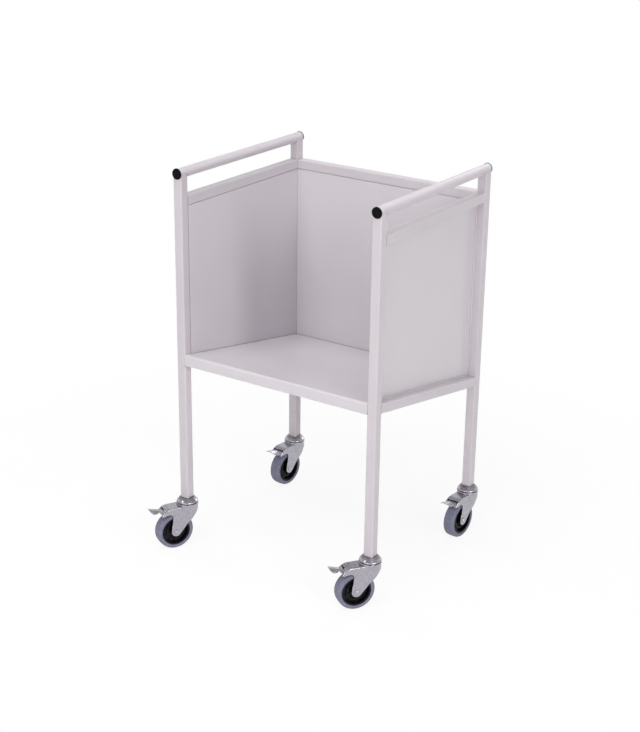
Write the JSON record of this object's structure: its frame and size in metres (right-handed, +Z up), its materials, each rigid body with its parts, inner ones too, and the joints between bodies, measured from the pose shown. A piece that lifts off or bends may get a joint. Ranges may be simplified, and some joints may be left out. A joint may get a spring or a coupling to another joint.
{
  "type": "medical chart rack",
  "caption": "Wheeled steel chart rack: square posts, two round push handles, three closed sides, a tilted open-fronted shelf and braked swivel castors.",
  "frame": {"origin": "on the floor, under the middle of the four posts", "axes": "+Z up, +X to the right of someone at the open front, -Y out of the open front"},
  "size_m": [0.6617, 0.6235, 1.0198],
  "materials": {
    "tube_powder_coat": "semi-gloss powder coat",
    "sheet_powder_coat": "semi-gloss powder coat",
    "plug_plastic": "moulded",
    "socket_steel": "plain",
    "pressed_zinc": "bright zinc plated",
    "turned_zinc": "bright zinc plated",
    "bearing_steel": "polished",
    "wheel_plastic": "moulded",
    "tyre_rubber": "matte"
  },
  "bodies": {
    "frame": {"back_panel": "sheet_powder_coat", "bottom_rail_left": "tube_powder_coat", "bottom_rail_rear": "tube_powder_coat", "bottom_rail_right": "tube_powder_coat", "handle_end_plugs": "plug_plastic", "handle_left": "tube_powder_coat", "handle_right": "tube_powder_coat", "panel_weld_beads": "tube_powder_coat", "post_front_left": "tube_powder_coat", "post_front_right": "tube_powder_coat", "post_rear_left": "tube_powder_coat", "post_rear_right": "tube_powder_coat", "post_top_weld_beads": "tube_powder_coat", "shelf": "sheet_powder_coat", "side_panel_left": "sheet_powder_coat", "side_panel_right": "sheet_powder_coat", "stem_sockets": "socket_steel", "top_rail_left": "tube_powder_coat", "top_rail_rear": "tube_powder_coat", "top_rail_right": "tube_powder_coat", "front_left_castor_cup": "pressed_zinc", "front_left_castor_kingpin": "turned_zinc", "front_left_castor_balls": "bearing_steel", "front_right_castor_cup": "pressed_zinc", "front_right_castor_kingpin": "turned_zinc", "front_right_castor_balls": "bearing_steel", "rear_left_castor_cup": "pressed_zinc", "rear_left_castor_kingpin": "turned_zinc", "rear_left_castor_balls": "bearing_steel", "rear_right_castor_cup": "pressed_zinc", "rear_right_castor_kingpin": "turned_zinc", "rear_right_castor_balls": "bearing_steel"},
    "front_left_fork": {"front_left_castor_fork": "pressed_zinc", "front_left_castor_axle": "turned_zinc", "front_left_castor_bush": "turned_zinc", "front_left_castor_pedal_pin": "turned_zinc"},
    "front_left_wheel": {"front_left_castor_wheel_core": "wheel_plastic", "front_left_castor_tyre": "tyre_rubber"},
    "front_left_pedal": {"front_left_castor_pedal": "pressed_zinc"},
    "front_right_fork": {"front_right_castor_fork": "pressed_zinc", "front_right_castor_axle": "turned_zinc", "front_right_castor_bush": "turned_zinc", "front_right_castor_pedal_pin": "turned_zinc"},
    "front_right_wheel": {"front_right_castor_wheel_core": "wheel_plastic", "front_right_castor_tyre": "tyre_rubber"},
    "front_right_pedal": {"front_right_castor_pedal": "pressed_zinc"},
    "rear_left_fork": {"rear_left_castor_fork": "pressed_zinc", "rear_left_castor_axle": "turned_zinc", "rear_left_castor_bush": "turned_zinc", "rear_left_castor_pedal_pin": "turned_zinc"},
    "rear_left_wheel": {"rear_left_castor_wheel_core": "wheel_plastic", "rear_left_castor_tyre": "tyre_rubber"},
    "rear_left_pedal": {"rear_left_castor_pedal": "pressed_zinc"},
    "rear_right_fork": {"rear_right_castor_fork": "pressed_zinc", "rear_right_castor_axle": "turned_zinc", "rear_right_castor_bush": "turned_zinc", "rear_right_castor_pedal_pin": "turned_zinc"},
    "rear_right_wheel": {"rear_right_castor_wheel_core": "wheel_plastic", "rear_right_castor_tyre": "tyre_rubber"},
    "rear_right_pedal": {"rear_right_castor_pedal": "pressed_zinc"}
  },
  "joints": [
    {"name": "front_left_swivel", "type": "hinge", "parent": "frame", "child": "front_left_fork", "pos_m": [-0.2855, -0.247, 0.122], "axis": [0, 0, 1], "continuous": true},
    {"name": "front_left_roll", "type": "hinge", "parent": "front_left_fork", "child": "front_left_wheel", "pos_m": [-0.30403, -0.28245, 0.05], "axis": [0.8862, -0.4633, 0], "continuous": true},
    {"name": "front_left_brake", "type": "hinge", "parent": "front_left_fork", "child": "front_left_pedal", "pos_m": [-0.31793, -0.30903, 0.1055], "axis": [0.8862, -0.4633, 0], "range_deg": [0, 22]},
    {"name": "front_right_swivel", "type": "hinge", "parent": "frame", "child": "front_right_fork", "pos_m": [0.2855, -0.247, 0.122], "axis": [0, 0, 1], "continuous": true},
    {"name": "front_right_roll", "type": "hinge", "parent": "front_right_fork", "child": "front_right_wheel", "pos_m": [0.26199, -0.27936, 0.05], "axis": [0.809, -0.5878, 0], "continuous": true},
    {"name": "front_right_brake", "type": "hinge", "parent": "front_right_fork", "child": "front_right_pedal", "pos_m": [0.24435, -0.30363, 0.1055], "axis": [0.809, -0.5878, 0], "range_deg": [0, 22]},
    {"name": "rear_left_swivel", "type": "hinge", "parent": "frame", "child": "rear_left_fork", "pos_m": [-0.2855, 0.247, 0.122], "axis": [0, 0, 1], "continuous": true},
    {"name": "rear_left_roll", "type": "hinge", "parent": "rear_left_fork", "child": "rear_left_wheel", "pos_m": [-0.29003, 0.20726, 0.05], "axis": [0.9936, -0.1132, 0], "continuous": true},
    {"name": "rear_left_brake", "type": "hinge", "parent": "rear_left_fork", "child": "rear_left_pedal", "pos_m": [-0.29342, 0.17745, 0.1055], "axis": [0.9936, -0.1132, 0], "range_deg": [0, 22]},
    {"name": "rear_right_swivel", "type": "hinge", "parent": "frame", "child": "rear_right_fork", "pos_m": [0.2855, 0.247, 0.122], "axis": [0, 0, 1], "continuous": true},
    {"name": "rear_right_roll", "type": "hinge", "parent": "rear_right_fork", "child": "rear_right_wheel", "pos_m": [0.28174, 0.20718, 0.05], "axis": [0.9956, -0.0941, 0], "continuous": true},
    {"name": "rear_right_brake", "type": "hinge", "parent": "rear_right_fork", "child": "rear_right_pedal", "pos_m": [0.27891, 0.17731, 0.1055], "axis": [0.9956, -0.0941, 0], "range_deg": [0, 22]}
  ]
}
